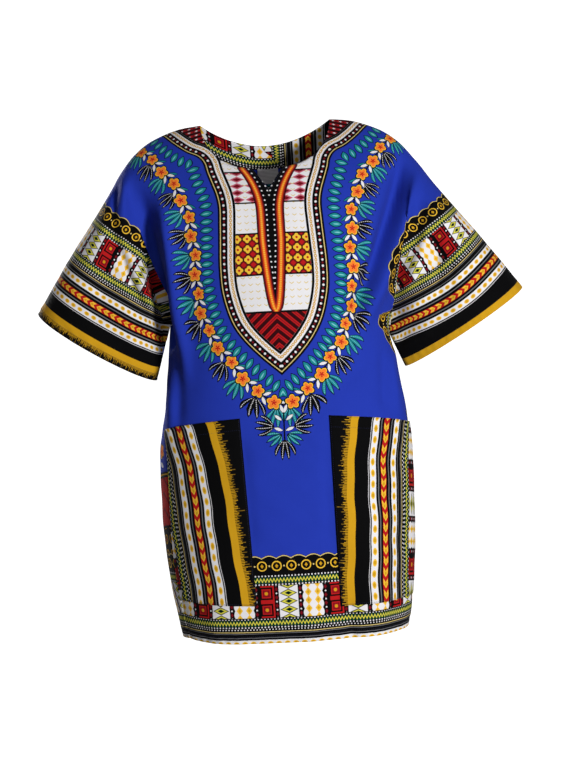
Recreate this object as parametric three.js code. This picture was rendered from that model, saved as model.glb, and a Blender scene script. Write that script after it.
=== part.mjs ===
// Dashiki dress: a loose, thigh-length pull-on dress with short kimono sleeves cut in one with the front and
// the back, a round neck with a V notch, a back neck facing with a label, and two large patch pockets.
// It keeps the hollow form of worn cloth. Millimetres, +Z up, the front faces -Y, and the origin is between
// the two points where the neckline meets the shoulders, where the wearer carries the dress.
import * as THREE from "three";

// ---- Driving dimensions ------------------------------------------------------------------------------------
const WALL = 1.2; // cloth, with its print and ease, as a wall
const SEAM_GAP = 0.3; // between pieces that are sewn together
const SHOULDER_X = 238; // where the overarm line leaves the body
const NECK_HALF = 106; // from the centre line to where the neckline meets the shoulder
const NOTCH_HALF = 24;
const NOTCH_DROP = 36;
const HEM_Z = -826;
const HEM_RISE = 5; // at the side seams
const SQUARENESS = 2.3; // superellipse power of the body's sections, where 2 is an ellipse
const SWAY = 0.011; // millimetres that the dress hangs over to the wearer's left, for each one down

// The front and the back: which way they face along Y, how far and in what curve the neckline falls, how
// quickly the shoulder rounds over into the chest or the back, and which column of GIRTHS is their depth.
const FRONT = { way: -1, neck: { drop: 84, flat: 3, steep: 0.6 }, fullness: 3, depth: "front" };
const BACK = { way: 1, neck: { drop: 33, flat: 2, steep: 1 }, fullness: 4.5, depth: "back" };

// The top of the shoulders and sleeves, seen from the front: x out from the centre line, z up.
const OVERARM = [
  { x: 0, z: 12 },
  { x: 130, z: 6 },
  { x: 183, z: -11 },
  { x: 215, z: -33 },
  { x: 238, z: -60 },
  { x: 271, z: -108 },
  { x: 325, z: -181 },
  { x: 397, z: -283 },
];

// The body's level sections below the armpits: half width, how far the middle lies to the wearer's left, and
// depth before and behind the seam plane.
const GIRTHS = [
  { z: -314, half: 175, middle: 0, front: 122, back: 92 },
  { z: -400, half: 189, middle: 3, front: 124, back: 97 },
  { z: -500, half: 203, middle: 1, front: 129, back: 110 },
  { z: -600, half: 206, middle: 0, front: 133, back: 122 },
  { z: -700, half: 203, middle: -1, front: 134, back: 125 },
  { z: -780, half: 193, middle: -1, front: 129, back: 119 },
  { z: -826, half: 184, middle: -1, front: 122, back: 112 },
];

// The wearer's right and left: the sign of x, the armpit's height, the two ends of the cuff's flat width, how
// far its middle hangs past them, and the degrees that the side seam has swung round the body at the hip.
const SIDES = {
  right: { way: -1, armpitZ: -314, top: { x: 389, z: -284 }, under: { x: 202, z: -404 }, bow: 13, swing: 25 },
  left: { way: 1, armpitZ: -346, top: { x: 404, z: -282 }, under: { x: 205, z: -402 }, bow: 8, swing: 5 },
};

// A sleeve's half depth, at shares of its length.
const SLEEVE_DEPTHS = [
  { share: 0, half: 42 },
  { share: 0.3, half: 58 },
  { share: 1, half: 56 },
];

// Long soft folds of the body below the armpits. The angle runs round from the centre front, positive to the
// wearer's left; a positive height is a ridge; a fold grows in below "from" and fades out above "to".
const BODY_FOLDS = [
  { angle: -62, width: 10, height: 7, from: -350, to: -560 },
  { angle: -84, width: 9, height: -6, from: -350, to: -520 },
  { angle: 66, width: 10, height: 6, from: -360, to: -520 },
  { angle: 20, width: 11, height: -5, from: -640, to: -930 },
  { angle: 40, width: 11, height: 7, from: -600, to: -930 },
  { angle: -30, width: 12, height: 4, from: -620, to: -930 },
  { angle: 128, width: 12, height: 8, from: -380, to: -930 },
  { angle: 155, width: 11, height: -6, from: -420, to: -930 },
  { angle: -170, width: 12, height: 7, from: -440, to: -930 },
  { angle: -148, width: 11, height: -5, from: -430, to: -930 },
  { angle: -125, width: 12, height: 7, from: -360, to: -930 },
];
const FOLD_FADE = 90;

// Folds that lie along a sleeve: around runs from the overarm line (0) to the underarm seam (1), and from and
// to are shares of the sleeve's length.
const SLEEVE_FOLDS = [
  { around: 0.25, width: 0.08, height: 6, from: -0.2, to: 0.6 },
  { around: 0.42, width: 0.09, height: -7, from: -0.1, to: 0.8 },
  { around: 0.64, width: 0.09, height: 6, from: 0, to: 0.95 },
  { around: 0.82, width: 0.08, height: -6, from: 0, to: 0.8 },
];

// A patch pocket's inner edge, as a share of the half front, the heights of its mouth and foot, and how far
// the mouth slants down to the side seam and stands open.
const POCKET = { inner: 0.19, mouthZ: -472, mouthSlant: 18, footZ: -769, open: 5 };
const FACING_DEPTH = 44;
const LABEL_HALF = 17;
const LABEL_DROP = 26; // below the facing's lower edge

// How finely the cloth is divided.
const YOKE_ROWS = 12;
const FACING_ROWS = 3; // of those, down to the depth of the facing; the label is the next row
const SKIRT_ROWS = { waist: 5, pocket: 8, hem: 2 };
const SLEEVE_STATIONS = 7;

// ---- Small helpers -----------------------------------------------------------------------------------------
const mix = (a, b, share) => a + (b - a) * share;
const clamp = (x) => Math.min(1, Math.max(0, x));
const bump = (x, middle, width) => Math.exp(-(((x - middle) / width) ** 2));
const smooth = (from, to, x) => {
  const share = clamp((x - from) / (to - from));
  return share * share * (3 - 2 * share);
};
const steps = (from, to, count) => Array.from({ length: count }, (_, i) => mix(from, to, (i + 1) / count));

// The value of a table's column at a place along its key column, on a smooth curve through its rows.
function read(table, key, column, at) {
  const last = table.length - 1;
  const rising = Math.sign(table[last][key] - table[0][key]);
  let i = 0;
  while (i < last - 1 && rising * at > rising * table[i + 1][key]) i += 1;
  const slope = (j) => {
    const [before, after] = [table[Math.max(0, j - 1)], table[Math.min(last, j + 1)]];
    return (after[column] - before[column]) / (after[key] - before[key]);
  };
  const span = table[i + 1][key] - table[i][key];
  const t = clamp((at - table[i][key]) / span);
  const start = table[i][column] * (1 + 2 * t) + slope(i) * span * t;
  const end = table[i + 1][column] * (3 - 2 * t) - slope(i + 1) * span * (1 - t);
  return start * (1 - t) ** 2 + end * t ** 2;
}

// The place of a row, where a few places follow each other and counts says how many rows lie between each two.
function level(heights, counts, row) {
  let [i, below] = [0, row];
  while (i < counts.length - 1 && below > counts[i]) {
    below -= counts[i];
    i += 1;
  }
  return mix(heights[i], heights[i + 1], below / counts[i]);
}

// ---- The garment's surface ---------------------------------------------------------------------------------
// Every ring of a sleeve hangs from the overarm line and is fuller near the top, where the arm is.
const ringDrop = (t) => (1 - Math.cos(Math.PI * t)) / 2;
const ringDepth = (t) => Math.sin(Math.PI * t) * (1 + 0.35 * Math.cos(Math.PI * t));
const NECK_SHARE = NECK_HALF / SHOULDER_X;
const FACING_SHARE = (NECK_HALF + FACING_DEPTH) / SHOULDER_X;
const rounded = (x) => Math.abs(x) ** (2 / SQUARENESS);
const armpitLevel = (s) => mix(SIDES.right.armpitZ, SIDES.left.armpitZ, (s + 1) / 2);

// The yoke runs from the shoulders (t = 0) to the armpits (t = 1), and s across it from armhole to armhole.
function yoke(face, s, row) {
  const t = Math.max(0, row);
  const k = Math.abs(s);
  const drop = ringDrop(t);
  const foot = armpitLevel(s);
  const turn = (Math.PI / 2) * Math.min(1, k);
  const across = mix(k, rounded(Math.sin(turn)), t ** 1.6);
  const out = mix(1 - k * k, rounded(Math.cos(turn)), t ** 1.6);
  const armholeX = mix(SHOULDER_X, read(GIRTHS, "z", "half", foot), drop);
  const middle = read(GIRTHS, "z", "middle", foot) * drop;
  const armholeY = SLEEVE_DEPTHS[0].half * ringDepth(t);
  const chestY = read(GIRTHS, "z", face.depth, foot) * (1 - (1 - drop) ** face.fullness);
  return new THREE.Vector3(
    middle + Math.sign(s) * armholeX * across,
    face.way * mix(armholeY, chestY, out),
    mix(read(OVERARM, "x", "z", SHOULDER_X * k), foot, drop),
  );
}

// A point of the body below the armpits, by its angle round from the centre front and its height.
function body(angle, z) {
  const a = THREE.MathUtils.degToRad(angle);
  const half = read(GIRTHS, "z", "half", z);
  const depth = read(GIRTHS, "z", Math.cos(a) > 0 ? "front" : "back", z);
  const x = half * Math.sign(Math.sin(a)) * rounded(Math.sin(a));
  const y = -depth * Math.sign(Math.cos(a)) * rounded(Math.cos(a));
  const out = new THREE.Vector3(x / half ** 2, y / depth ** 2, 0).normalize();
  let height = 0;
  for (const fold of BODY_FOLDS) {
    const apart = ((angle - fold.angle + 540) % 360) - 180;
    const reach = smooth(fold.from, fold.from - FOLD_FADE, z) * smooth(fold.to, fold.to + FOLD_FADE, z);
    height += fold.height * bump(apart, 0, fold.width) * reach;
  }
  return new THREE.Vector3(x + read(GIRTHS, "z", "middle", z), y, z).addScaledVector(out, height);
}

// The front or the back below the armpits, by its share of the half panel and its row.
function skirt(face, s, row) {
  const counts = Object.values(SKIRT_ROWS);
  const mouth = POCKET.mouthZ - POCKET.mouthSlant * Math.abs(s);
  const hem = HEM_Z + HEM_RISE * Math.abs(s) ** 3;
  const z = level([armpitLevel(s), mouth, POCKET.footZ, hem], counts, row);
  const side = s < 0 ? SIDES.right : SIDES.left;
  const swing = side.swing * smooth(-350, -520, z) * s * s;
  return body(face === FRONT ? 90 * s + swing : 180 - 90 * s + swing, z);
}

// One face of a sleeve: q runs from the armhole to the cuff, t from the overarm line to the underarm seam.
function sleeve(face, side, q, t) {
  const cuffOverarm = OVERARM[OVERARM.length - 1];
  const overarm = read(OVERARM, "x", "z", mix(SHOULDER_X, cuffOverarm.x, q));
  const topZ = overarm + (side.top.z - cuffOverarm.z) * q;
  const middle = side.way * read(GIRTHS, "z", "middle", side.armpitZ);
  const armpitX = read(GIRTHS, "z", "half", side.armpitZ) + middle;
  const top = new THREE.Vector3(mix(SHOULDER_X, side.top.x, q), 0, topZ);
  const under = new THREE.Vector3(mix(armpitX, side.under.x, q), 0, mix(side.armpitZ, side.under.z, q));
  const width = top.clone().sub(under);
  const along = new THREE.Vector3(width.z, 0, -width.x).normalize();
  let depth = read(SLEEVE_DEPTHS, "share", "half", q) * ringDepth(t);
  for (const fold of SLEEVE_FOLDS) {
    const reach = smooth(fold.from, fold.from + 0.3, q) * smooth(fold.to, fold.to - 0.3, q);
    depth += fold.height * bump(t, fold.around, fold.width) * reach * smooth(0, 0.15, q);
  }
  return top
    .addScaledVector(width, -ringDrop(t))
    .addScaledVector(along, side.bow * Math.sin(Math.PI * t) * q * q)
    .add(new THREE.Vector3(0, face.way * depth, 0))
    .multiply(new THREE.Vector3(side.way, 1, 1));
}

// The neckline's height at x, seen from the front.
function neckline(face, x) {
  const share = Math.min(1, Math.abs(x) / NECK_HALF);
  const scoop = face.neck.drop * (1 - share ** face.neck.flat) ** face.neck.steep;
  const notch = face === FRONT ? NOTCH_DROP * Math.max(0, 1 - Math.abs(x) / NOTCH_HALF) : 0;
  return read(OVERARM, "x", "z", NECK_HALF) - scoop - notch;
}

// The place down a column of the yoke where a test first holds, found by halving.
function placeDown(face, s, test) {
  let [above, below] = [0, 1];
  for (let i = 0; i < 40; i += 1) {
    const t = (above + below) / 2;
    if (test(yoke(face, s, t))) below = t;
    else above = t;
  }
  return below;
}

// The place of the yoke's row j in column s: evenly down the depth of the facing, then one row for the label,
// then evenly to the armpits.
function yokeRow(face, s, j) {
  const onShoulder = Math.abs(s) > NECK_SHARE - 1e-6;
  const top = onShoulder ? 0 : placeDown(face, s, (p) => p.z <= neckline(face, p.x));
  const edge = yoke(face, s, top);
  const below = (depth) => placeDown(face, s, (p) => p.z < edge.z && p.distanceTo(edge) > depth);
  const places = [top, below(FACING_DEPTH), below(FACING_DEPTH + LABEL_DROP), 1];
  return level(places, [FACING_ROWS, 1, YOKE_ROWS - FACING_ROWS - 1], j);
}

// ---- Cloth as closed walls ---------------------------------------------------------------------------------
// A cloth holds the points of a surface by name, each with its outward normal, and the patches between them.
class Cloth {
  constructor() {
    this.known = new Map();
    this.points = [];
    this.patches = [];
  }

  // The point of a surface at (a, b), which is made once. way is 1 where a across b points outward. A point
  // on a seam that lies in the plane y = 0 keeps half the seam's gap to it, and its normal lies in that plane.
  point(name, surface, a, b, way, seamWay = 0) {
    if (!this.known.has(name)) {
      const step = 0.004;
      const place = surface(a, b);
      const acrossA = surface(a + step, b).sub(surface(a - step, b));
      const acrossB = surface(a, b + step).sub(surface(a, b - step));
      const normal = acrossA.cross(acrossB).multiplyScalar(way);
      place.x -= SWAY * place.z;
      if (seamWay !== 0) {
        place.y = (seamWay * SEAM_GAP) / 2;
        normal.y = 0;
      }
      this.known.set(name, this.points.length);
      this.points.push({ place, normal: normal.normalize(), lift: 0 });
    }
    return this.known.get(name);
  }

  patch(corners, turned) {
    this.patches.push(turned ? [...corners].reverse() : corners);
  }

  // The closed wall between two offsets from the surface, where a point's own lift is added to both.
  wall(inner, outer) {
    const count = this.points.length;
    const position = [];
    for (const offset of [outer, inner]) {
      for (const { place, normal, lift } of this.points) {
        position.push(...place.clone().addScaledVector(normal, offset + lift).toArray());
      }
    }
    const index = [];
    const edges = new Map();
    for (const corners of this.patches) {
      for (let i = 2; i < corners.length; i += 1) {
        const [a, b, c] = [corners[0], corners[i - 1], corners[i]];
        index.push(a, b, c, c + count, b + count, a + count);
      }
      corners.forEach((from, i) => {
        const to = corners[(i + 1) % corners.length];
        if (!edges.delete(`${to} ${from}`)) edges.set(`${from} ${to}`, [from, to]);
      });
    }
    for (const [a, b] of edges.values()) index.push(b, a, a + count, b, a + count, b + count);
    const geometry = new THREE.BufferGeometry();
    geometry.setAttribute("position", new THREE.Float32BufferAttribute(position, 3));
    geometry.setIndex(index);
    return geometry;
  }
}

// The columns of the body. The edges of the label, the notch, the pockets, the neckline and the facing each
// have their own.
const HALF_COLUMNS = [
  LABEL_HALF / SHOULDER_X,
  NOTCH_HALF / SHOULDER_X,
  POCKET.inner,
  ...steps(POCKET.inner, NECK_SHARE, 4),
  ...steps(NECK_SHARE, FACING_SHARE, FACING_ROWS),
  ...steps(FACING_SHARE, 1, 5),
];
const COLUMNS = [...HALF_COLUMNS.map((s) => -s).reverse(), 0, ...HALF_COLUMNS];
const LAST_COLUMN = COLUMNS.length - 1;
const columnAt = (share) => COLUMNS.findIndex((s) => Math.abs(s - share) < 1e-6);
const LAST_SKIRT_ROW = SKIRT_ROWS.waist + SKIRT_ROWS.pocket + SKIRT_ROWS.hem;
const SEAM_SHARE = 1 - 0.0012; // a side seam's edge, as a share of the half panel

function yokePoint(cloth, face, i, j) {
  const s = COLUMNS[i];
  if (i === 0) return sleevePoint(cloth, face, SIDES.right, 0, j);
  if (i === LAST_COLUMN) return sleevePoint(cloth, face, SIDES.left, 0, j);
  const onShoulder = j === 0 && Math.abs(s) > NECK_SHARE - 1e-6;
  const t = yokeRow(face, s, j);
  return cloth.point(`yoke ${i} ${j}`, (a, b) => yoke(face, a, b), s, t, face.way, onShoulder ? face.way : 0);
}

function sleevePoint(cloth, face, side, n, j) {
  const onSeam = j === 0 || j === YOKE_ROWS;
  const surface = (a, b) => sleeve(face, side, a, b);
  const name = `sleeve ${side.way} ${n} ${j}`;
  const way = face.way * side.way;
  return cloth.point(name, surface, n / SLEEVE_STATIONS, j / YOKE_ROWS, way, onSeam ? face.way : 0);
}

function skirtPoint(cloth, face, i, j) {
  if (j === 0) return yokePoint(cloth, face, i, YOKE_ROWS);
  const s = Math.sign(COLUMNS[i]) * Math.min(SEAM_SHARE, Math.abs(COLUMNS[i]));
  return cloth.point(`skirt ${i} ${j}`, (a, b) => skirt(face, a, b), s, j, face.way);
}

// Patches between neighbouring columns and rows, where pick gives the point at a column and a row.
function grid(cloth, pick, columns, rows, turned) {
  for (let i = columns[0]; i < columns[1]; i += 1) {
    for (let j = rows[0]; j < rows[1]; j += 1) {
      cloth.patch([pick(i, j), pick(i, j + 1), pick(i + 1, j + 1), pick(i + 1, j)], turned);
    }
  }
}

// The front or the back: body and both half sleeves, cut in one.
function panel(face) {
  const cloth = new Cloth();
  const isBack = face === BACK;
  grid(cloth, (i, j) => yokePoint(cloth, face, i, j), [0, LAST_COLUMN], [0, YOKE_ROWS], isBack);
  grid(cloth, (i, j) => skirtPoint(cloth, face, i, j), [0, LAST_COLUMN], [0, LAST_SKIRT_ROW], isBack);
  for (const side of Object.values(SIDES)) {
    const pick = (n, j) => sleevePoint(cloth, face, side, n, j);
    grid(cloth, pick, [0, SLEEVE_STATIONS], [0, YOKE_ROWS], isBack === side.way > 0);
  }
  return cloth.wall(-WALL, 0);
}

// A patch pocket lies on the front's own points, and its mouth stands a little open.
function pocket(side) {
  const cloth = new Cloth();
  const edge = columnAt(side.way * POCKET.inner);
  const columns = side.way > 0 ? [edge, LAST_COLUMN] : [0, edge];
  const rows = [SKIRT_ROWS.waist, SKIRT_ROWS.waist + SKIRT_ROWS.pocket];
  const pick = (i, j) => {
    const k = skirtPoint(cloth, FRONT, i, j);
    const across = (i - columns[0]) / (columns[1] - columns[0]);
    const depth = (j - rows[0]) / SKIRT_ROWS.pocket;
    cloth.points[k].lift = POCKET.open * Math.sin(Math.PI * across) * bump(depth, 0, 0.2);
    return k;
  };
  grid(cloth, pick, columns, rows, false);
  return cloth.wall(SEAM_GAP, SEAM_GAP + WALL);
}

// The back neck facing runs inside the back along the neckline, and ends on the shoulder seams, where it
// steps up one row for each column.
function neckFacing() {
  const cloth = new Cloth();
  const pick = (i, j) => yokePoint(cloth, BACK, i, j);
  const neck = [columnAt(-NECK_SHARE), columnAt(NECK_SHARE)];
  grid(cloth, pick, neck, [0, FACING_ROWS], true);
  for (let n = 0; n < FACING_ROWS; n += 1) {
    const foot = FACING_ROWS - n;
    const [left, right] = [neck[1] + n, neck[0] - n];
    grid(cloth, pick, [left, left + 1], [0, foot - 1], true);
    grid(cloth, pick, [right - 1, right], [0, foot - 1], true);
    cloth.patch([pick(left, foot - 1), pick(left, foot), pick(left + 1, foot - 1)], true);
    cloth.patch([pick(right, foot - 1), pick(right - 1, foot - 1), pick(right, foot)], true);
  }
  return cloth.wall(-SEAM_GAP - 2 * WALL, -SEAM_GAP - WALL);
}

// The neck label hangs from the facing's lower edge.
function neckLabel() {
  const cloth = new Cloth();
  const edges = [columnAt(-LABEL_HALF / SHOULDER_X), columnAt(LABEL_HALF / SHOULDER_X)];
  const rows = [FACING_ROWS, FACING_ROWS + 1];
  grid(cloth, (i, j) => yokePoint(cloth, BACK, i, j), edges, rows, true);
  const outside = -2 * (SEAM_GAP + WALL);
  return cloth.wall(outside - 1, outside);
}

// ---- The dress ---------------------------------------------------------------------------------------------
const BLUE_PRINT = { color: 0x2638a5, roughness: 0.78, metalness: 0 };
const BORDER_PRINT = { color: 0x1b1a1c, roughness: 0.8, metalness: 0 };
const LABEL_TAPE = { color: 0xb9b6b2, roughness: 0.6, metalness: 0 };

const dress = new THREE.Group();
function add(name, geometry, look) {
  const mesh = new THREE.Mesh(geometry, new THREE.MeshStandardMaterial(look));
  mesh.name = name;
  dress.add(mesh);
}

add("front", panel(FRONT), BLUE_PRINT);
add("back", panel(BACK), BLUE_PRINT);
add("pocket_right", pocket(SIDES.right), BORDER_PRINT);
add("pocket_left", pocket(SIDES.left), BORDER_PRINT);
add("neck_facing", neckFacing(), BORDER_PRINT);
add("neck_label", neckLabel(), LABEL_TAPE);

export default dress;
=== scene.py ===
# The looks of a dashiki dress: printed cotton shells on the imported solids' forms, with the creases, prints,
# weave, hems and stitches that the solids leave out.
import math
from functools import reduce

import bpy
import numpy as np
from mathutils import Matrix, Vector


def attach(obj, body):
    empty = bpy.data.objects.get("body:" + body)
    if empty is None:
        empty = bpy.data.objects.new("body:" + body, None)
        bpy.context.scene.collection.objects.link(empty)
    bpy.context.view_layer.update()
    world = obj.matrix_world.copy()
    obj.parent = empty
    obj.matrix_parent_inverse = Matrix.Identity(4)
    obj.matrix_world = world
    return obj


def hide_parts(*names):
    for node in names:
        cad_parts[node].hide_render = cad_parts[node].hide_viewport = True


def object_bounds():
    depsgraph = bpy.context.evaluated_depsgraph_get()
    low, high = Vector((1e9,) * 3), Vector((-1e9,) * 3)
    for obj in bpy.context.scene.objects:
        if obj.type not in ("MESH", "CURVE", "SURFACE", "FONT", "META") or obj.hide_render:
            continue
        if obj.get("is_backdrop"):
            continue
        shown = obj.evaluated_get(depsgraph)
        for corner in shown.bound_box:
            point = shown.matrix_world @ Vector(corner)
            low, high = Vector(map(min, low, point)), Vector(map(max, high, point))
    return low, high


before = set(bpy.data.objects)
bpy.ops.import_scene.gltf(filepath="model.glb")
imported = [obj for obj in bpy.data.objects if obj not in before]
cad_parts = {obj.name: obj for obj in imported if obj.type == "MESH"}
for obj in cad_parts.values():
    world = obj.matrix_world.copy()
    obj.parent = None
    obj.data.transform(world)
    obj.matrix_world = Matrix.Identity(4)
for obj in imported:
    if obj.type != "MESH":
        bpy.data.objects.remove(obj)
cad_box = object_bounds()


def rows(names, *values):
    """A table's rows as dicts, by the names of its columns."""
    return [dict(zip(names.split(), row)) for row in values]


# ---- Sizes, in millimetres in the frame's axes: +Z up, the front faces -Y ----
MM = 0.001
FAR = 900.0  # a distance beyond any print or hem
TINY = 1e-6
CLOTH = 0.7  # thickness of the shown cloth
HEM_CLOTH = 1.5  # of a turned hem
LABEL_CLOTH = 0.5
HEM_DEPTH = 14
HEM_STITCH = 12  # how far in from an edge its stitches run
NECK_STITCH = 4
POCKET_STITCH = 2.5
MOUTH_STITCH = 18
STITCH = dict(pitch=3.2, half_length=1.15, half_width=0.27)
SHOULDER_X = 238
NECK_HALF = 106
NECK_SHARE = NECK_HALF / SHOULDER_X
NOTCH_HALF = 24
NOTCH_DROP = 36
SQUARENESS = 2.3  # of the body's section, where 2 is an ellipse
SWAY = 0.011  # how far the dress leans to its left for each millimetre down
HEM_Z = -826
HEM_RISE = 5
FACING_DEPTH = 44
FACING_START = 103  # where the facing's lower edge lies in the border print, and how far along
FACING_SHIFT = 35
FACING_CORNER = 133  # and where it turns at its mitred corner, from the centre line
LABEL_HALF = 17
LABEL_TOP = 42
LABEL_FOOT = 68

# The line over the shoulder and the arm.
OVERARM = rows(
    "x z", (0, 12), (130, 6), (183, -11), (215, -33), (238, -60), (271, -108), (325, -181), (397, -283)
)
# Half width, middle, and depth in front and behind, of the body down its height.
GIRTHS = rows(
    "z half middle front back",
    (-314, 175, 0, 122, 92),
    (-400, 189, 3, 124, 97),
    (-500, 203, 1, 129, 110),
    (-600, 206, 0, 133, 122),
    (-700, 203, -1, 134, 125),
    (-780, 193, -1, 129, 119),
    (-826, 184, -1, 122, 112),
)

# The wearer's right and left: z of the armpit, x and z of the cuff's two ends, how far the cuff bows out, how
# many degrees the side seam swings round the body, how much of the border print the cuff's hem has turned in,
# how far the print is drawn up from the cuff towards the sleeve's seams, and the width of border that shows
# on the front beside the armhole.
RIGHT, LEFT = rows(
    "way armpit top under bow swing trim tuck strip",
    (-1, -314, (389, -284), (202, -404), 13, 25, -13, 0, 0),
    (1, -346, (404, -282), (205, -402), 8, 5, 0, 12, 72),
)

SLEEVE_DEPTHS = rows("share half", (0, 42), (0.3, 58), (1, 56))

# Long soft folds below the armpits, by their angle round from the centre front.
BODY_FOLDS = rows(
    "angle width height start end",
    (-62, 10, 7, -350, -560),
    (-84, 9, -6, -350, -520),
    (66, 10, 6, -360, -520),
    (20, 11, -5, -640, -930),
    (40, 11, 7, -600, -930),
    (-30, 12, 4, -620, -930),
    (128, 12, 11, -380, -930),
    (155, 11, -9, -420, -930),
    (-170, 12, 9, -400, -930),
    (-148, 11, -8, -430, -930),
    (-125, 12, 10, -360, -930),
)
FOLD_FADE = 90  # over how much height a fold begins and ends

# Folds along the sleeves, by their place round a sleeve's face and their reach from armhole to cuff.
SLEEVE_FOLDS = rows(
    "around width height start end",
    (0.25, 0.08, 6, -0.2, 0.6),
    (0.42, 0.09, -7, -0.1, 0.8),
    (0.64, 0.09, 6, 0, 0.95),
    (0.82, 0.08, -6, 0, 0.8),
)

# Creases, each along a curve bent by its middle point, as x and z seen from the front: width of the trough
# or ridge, and its height, positive where the cloth stands out.
CREASE_PUSH = (0.4, 1, 0.4)  # how much of the cloth's own direction a crease keeps along x, y and z
CREASE_LEGS = 8
CREASE = "start middle end width height"
FRONT_CREASES = rows(
    CREASE,
    ((-210, -84), (-187, -240), (-164, -396), 13, -24),
    ((-176, -90), (-154, -240), (-146, -430), 12, 18),
    ((-226, -62), (-238, -116), (-232, -206), 9, 9),
    ((-242, -76), (-256, -126), (-250, -206), 7, -9),
    ((-250, -170), (-228, -262), (-190, -322), 6, -9),
    ((-240, -164), (-214, -248), (-182, -306), 8, 8),
    ((222, -46), (204, -170), (100, -366), 11, -25),
    ((246, -74), (224, -180), (124, -370), 11, 16),
    ((180, -80), (162, -190), (136, -330), 13, 6),
    ((262, -160), (270, -240), (262, -330), 8, -6),
    ((300, -190), (302, -260), (288, -340), 9, 5),
    ((272, -130), (250, -200), (214, -290), 8, 6),
    ((-196, -300), (-240, -262), (-300, -250), 8, -5),
    ((-196, -316), (-238, -296), (-290, -304), 7, 5),
    ((-198, -330), (-226, -330), (-262, -350), 7, -5),
    ((-200, -262), (-236, -222), (-282, -196), 10, 4),
    ((200, -350), (236, -318), (286, -300), 8, -5),
    ((204, -330), (240, -286), (300, -262), 8, 5),
    ((206, -300), (240, -246), (292, -214), 9, -5),
    ((204, -372), (224, -356), (256, -352), 6, 4),
    ((-182, -330), (-176, -400), (-174, -500), 9, 3),
    ((-157, -316), (-154, -400), (-164, -510), 9, -5),
    ((-166, -330), (-120, -352), (-70, -390), 9, -2.5),
    ((172, -356), (166, -420), (168, -480), 8, -5),
    ((188, -366), (184, -410), (190, -470), 6, 4),
    ((170, -370), (130, -400), (90, -440), 10, -2.5),
    ((-60, -472), (-56, -600), (-50, -700), 9, -2),
    ((76, -480), (66, -600), (70, -700), 9, -2),
    ((96, -760), (96, -800), (94, -840), 9, -5),
    ((38, -770), (36, -800), (34, -840), 16, 3),
    ((-120, -770), (-122, -800), (-120, -840), 14, 3),
    ((-60, -70), (-62, -150), (-54, -250), 14, 1.5),
    ((60, -80), (64, -170), (58, -260), 14, -1.5),
    ((150, -60), (150, -140), (160, -260), 12, 3),
    ((-150, -60), (-152, -140), (-150, -260), 12, 3),
)
BACK_CREASES = rows(
    CREASE,
    ((-208, -80), (-196, -170), (-172, -316), 11, -13),
    ((-238, -84), (-228, -150), (-204, -240), 8, 8),
    ((208, -80), (196, -180), (174, -340), 11, -13),
    ((240, -90), (228, -160), (202, -250), 8, 7),
    ((-156, -110), (-128, -260), (-112, -430), 13, 9),
    ((-96, -190), (-74, -330), (-78, -530), 12, -9),
    ((20, -160), (10, -330), (24, -600), 15, 8),
    ((126, -120), (114, -280), (124, -470), 13, 9),
    ((80, -230), (86, -380), (78, -570), 11, -9),
    ((-180, -330), (-130, -380), (-60, -430), 17, -3),
    ((180, -352), (130, -396), (70, -460), 17, -3),
    ((-196, -300), (-240, -268), (-300, -258), 8, -5),
    ((-198, -322), (-236, -306), (-280, -312), 7, 5),
    ((-204, -250), (-244, -214), (-296, -196), 10, -4),
    ((200, -350), (240, -318), (290, -304), 8, -5),
    ((204, -326), (244, -282), (300, -256), 8, 5),
    ((212, -280), (250, -232), (300, -204), 9, -4),
    ((-120, -700), (-126, -770), (-122, -850), 14, 5),
    ((-40, -690), (-44, -770), (-40, -850), 13, -5),
    ((52, -700), (50, -770), (56, -850), 15, 5),
    ((130, -690), (134, -770), (130, -850), 12, -4),
)

# The pockets: x of the inner edge at mouth and foot, z of the mouth and of the foot at the inner edge and at
# the side seam, where the gold band of the border print lies at mouth and foot, in from the inner edge, and
# the flat size and area in metres.
POCKETS = rows(
    "name side mouth_x foot_x mouth foot lean flat area",
    ("pocket_right", RIGHT, -62, -50, (-472, -486), (-766, -757), (43, 12), (0.155, 0.3), 0.0427),
    ("pocket_left", LEFT, 77, 80, (-474, -498), (-774, -770), (36, 12), (0.225, 0.31), 0.0635),
)
POCKET_LIFT = 1.1  # from the front's surface to the pocket's
POCKET_OPEN = 5  # how far its mouth stands out in the middle
POCKET_PRINT = 0.76  # the scale of the border print along the pockets, as they are cut from its wider part

# How finely the cloth is divided, and how far down the body and out the sleeves the hems' finer rows begin.
COLUMNS = dict(notch=6, neck=34, shoulder=26)
YOKE_ROWS = dict(facing=12, chest=68)
SKIRT_ROWS = dict(body=108, hem=14, hem_start=0.967)
SLEEVE_ROWS = dict(body=52, hem=12, hem_start=0.925)
POCKET_GRID = (48, 72)
FACING_GRID = (81, 15)
LABEL_GRID = (15, 15)
HALVINGS = 40  # in a search for a place on the surface

# The outline of the neck panel's left half and the middle of the garland round it, on the flat front and
# back: across from the centre line and up from the armpits, from the tip to the shoulder.
FRONT_OUTLINE = [
    (0, -408), (31, -380), (58, -349), (75, -318), (86, -275), (88, -236), (86, -198), (84, -164),
    (83, -136), (86, -115), (93, -92), (99, -72), (103, -54), (112, -41), (130, -31), (148, -15),
    (163, 3), (182, 32),
]
BACK_OUTLINE = [(0, -56), (60, -47), (110, -27), (145, -4), (172, 20), (195, 44)]
FRONT_GARLAND = [
    (0, -455), (38, -434), (66, -402), (98, -358), (118, -318), (127, -270), (127, -215), (131, -160),
    (142, -115), (160, -80), (188, -42), (220, 0),
]
BACK_GARLAND = [(0, -94), (70, -84), (130, -58), (172, -32), (205, -6), (235, 20)]
RING_ASIDE = 19  # from the panel's outline to the middle of the ring of leaves

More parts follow.
